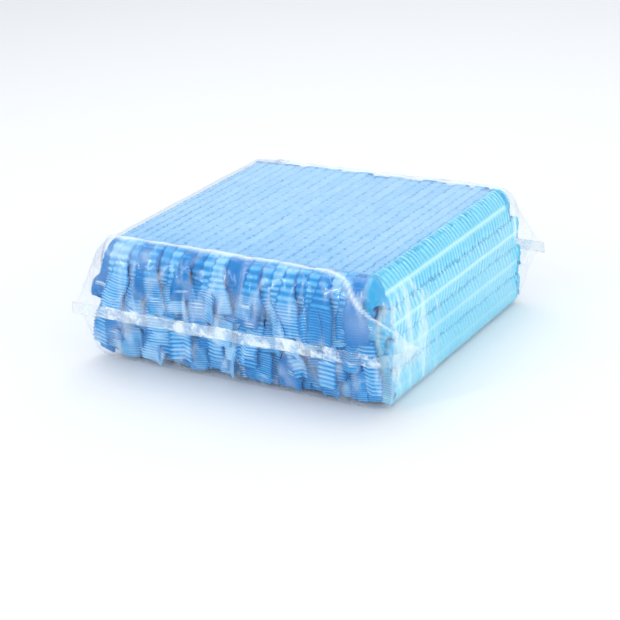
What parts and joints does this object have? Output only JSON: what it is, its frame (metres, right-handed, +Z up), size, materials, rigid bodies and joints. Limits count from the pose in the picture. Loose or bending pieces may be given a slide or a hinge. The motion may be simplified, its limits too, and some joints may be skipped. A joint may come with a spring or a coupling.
{
  "type": "clear bag of pleated disposable hairnets",
  "caption": "Sealed clear film bag holding a block of light blue pleated clip-cap hairnets, standing on edge in columns.",
  "frame": {"origin": "under the middle of the bag, on the surface that it rests on", "axes": "+X across the columns of hairnets, +Y along each hairnet towards the back seal, +Z up"},
  "size_m": [0.2442, 0.2184, 0.0856],
  "materials": {
    "cap_fabric": "soft nonwoven",
    "cap_fabric_side": "soft nonwoven",
    "clear_film": "clear glossy film",
    "welded_film": "clear film, pressed and welded"
  },
  "bodies": {
    "root": {"hairnet_top_01": "cap_fabric", "hairnet_top_02": "cap_fabric", "hairnet_top_03": "cap_fabric", "hairnet_top_04": "cap_fabric", "hairnet_top_05": "cap_fabric", "hairnet_top_06": "cap_fabric", "hairnet_top_07": "cap_fabric", "hairnet_top_08": "cap_fabric", "hairnet_top_09": "cap_fabric", "hairnet_top_10": "cap_fabric", "hairnet_top_11": "cap_fabric", "hairnet_top_12": "cap_fabric", "hairnet_top_13": "cap_fabric", "hairnet_top_14": "cap_fabric", "hairnet_top_15": "cap_fabric", "hairnet_top_16": "cap_fabric", "hairnet_top_17": "cap_fabric", "hairnet_top_18": "cap_fabric", "hairnet_top_19": "cap_fabric", "hairnet_top_20": "cap_fabric", "hairnet_top_21": "cap_fabric", "hairnet_top_22": "cap_fabric", "hairnet_top_23": "cap_fabric", "hairnet_top_24": "cap_fabric", "hairnet_top_25": "cap_fabric", "hairnet_left_2": "cap_fabric_side", "hairnet_left_3": "cap_fabric_side", "hairnet_left_4": "cap_fabric_side", "hairnet_right_2": "cap_fabric_side", "hairnet_right_3": "cap_fabric_side", "hairnet_right_4": "cap_fabric_side", "hairnet_stack_02": "cap_fabric_side", "hairnet_stack_03": "cap_fabric_side", "hairnet_stack_04": "cap_fabric_side", "hairnet_stack_05": "cap_fabric_side", "hairnet_stack_06": "cap_fabric_side", "hairnet_stack_07": "cap_fabric_side", "hairnet_stack_08": "cap_fabric_side", "hairnet_stack_09": "cap_fabric_side", "hairnet_stack_10": "cap_fabric_side", "hairnet_stack_11": "cap_fabric_side", "hairnet_stack_12": "cap_fabric_side", "hairnet_stack_13": "cap_fabric_side", "hairnet_stack_14": "cap_fabric_side", "hairnet_stack_15": "cap_fabric_side", "hairnet_stack_16": "cap_fabric_side", "hairnet_stack_17": "cap_fabric_side", "hairnet_stack_18": "cap_fabric_side", "hairnet_stack_19": "cap_fabric_side", "hairnet_stack_20": "cap_fabric_side", "hairnet_stack_21": "cap_fabric_side", "hairnet_stack_22": "cap_fabric_side", "hairnet_stack_23": "cap_fabric_side", "hairnet_stack_24": "cap_fabric_side", "bag_film": "clear_film", "bag_seal_front": "welded_film", "bag_seal_back": "welded_film"}
  },
  "joints": []
}
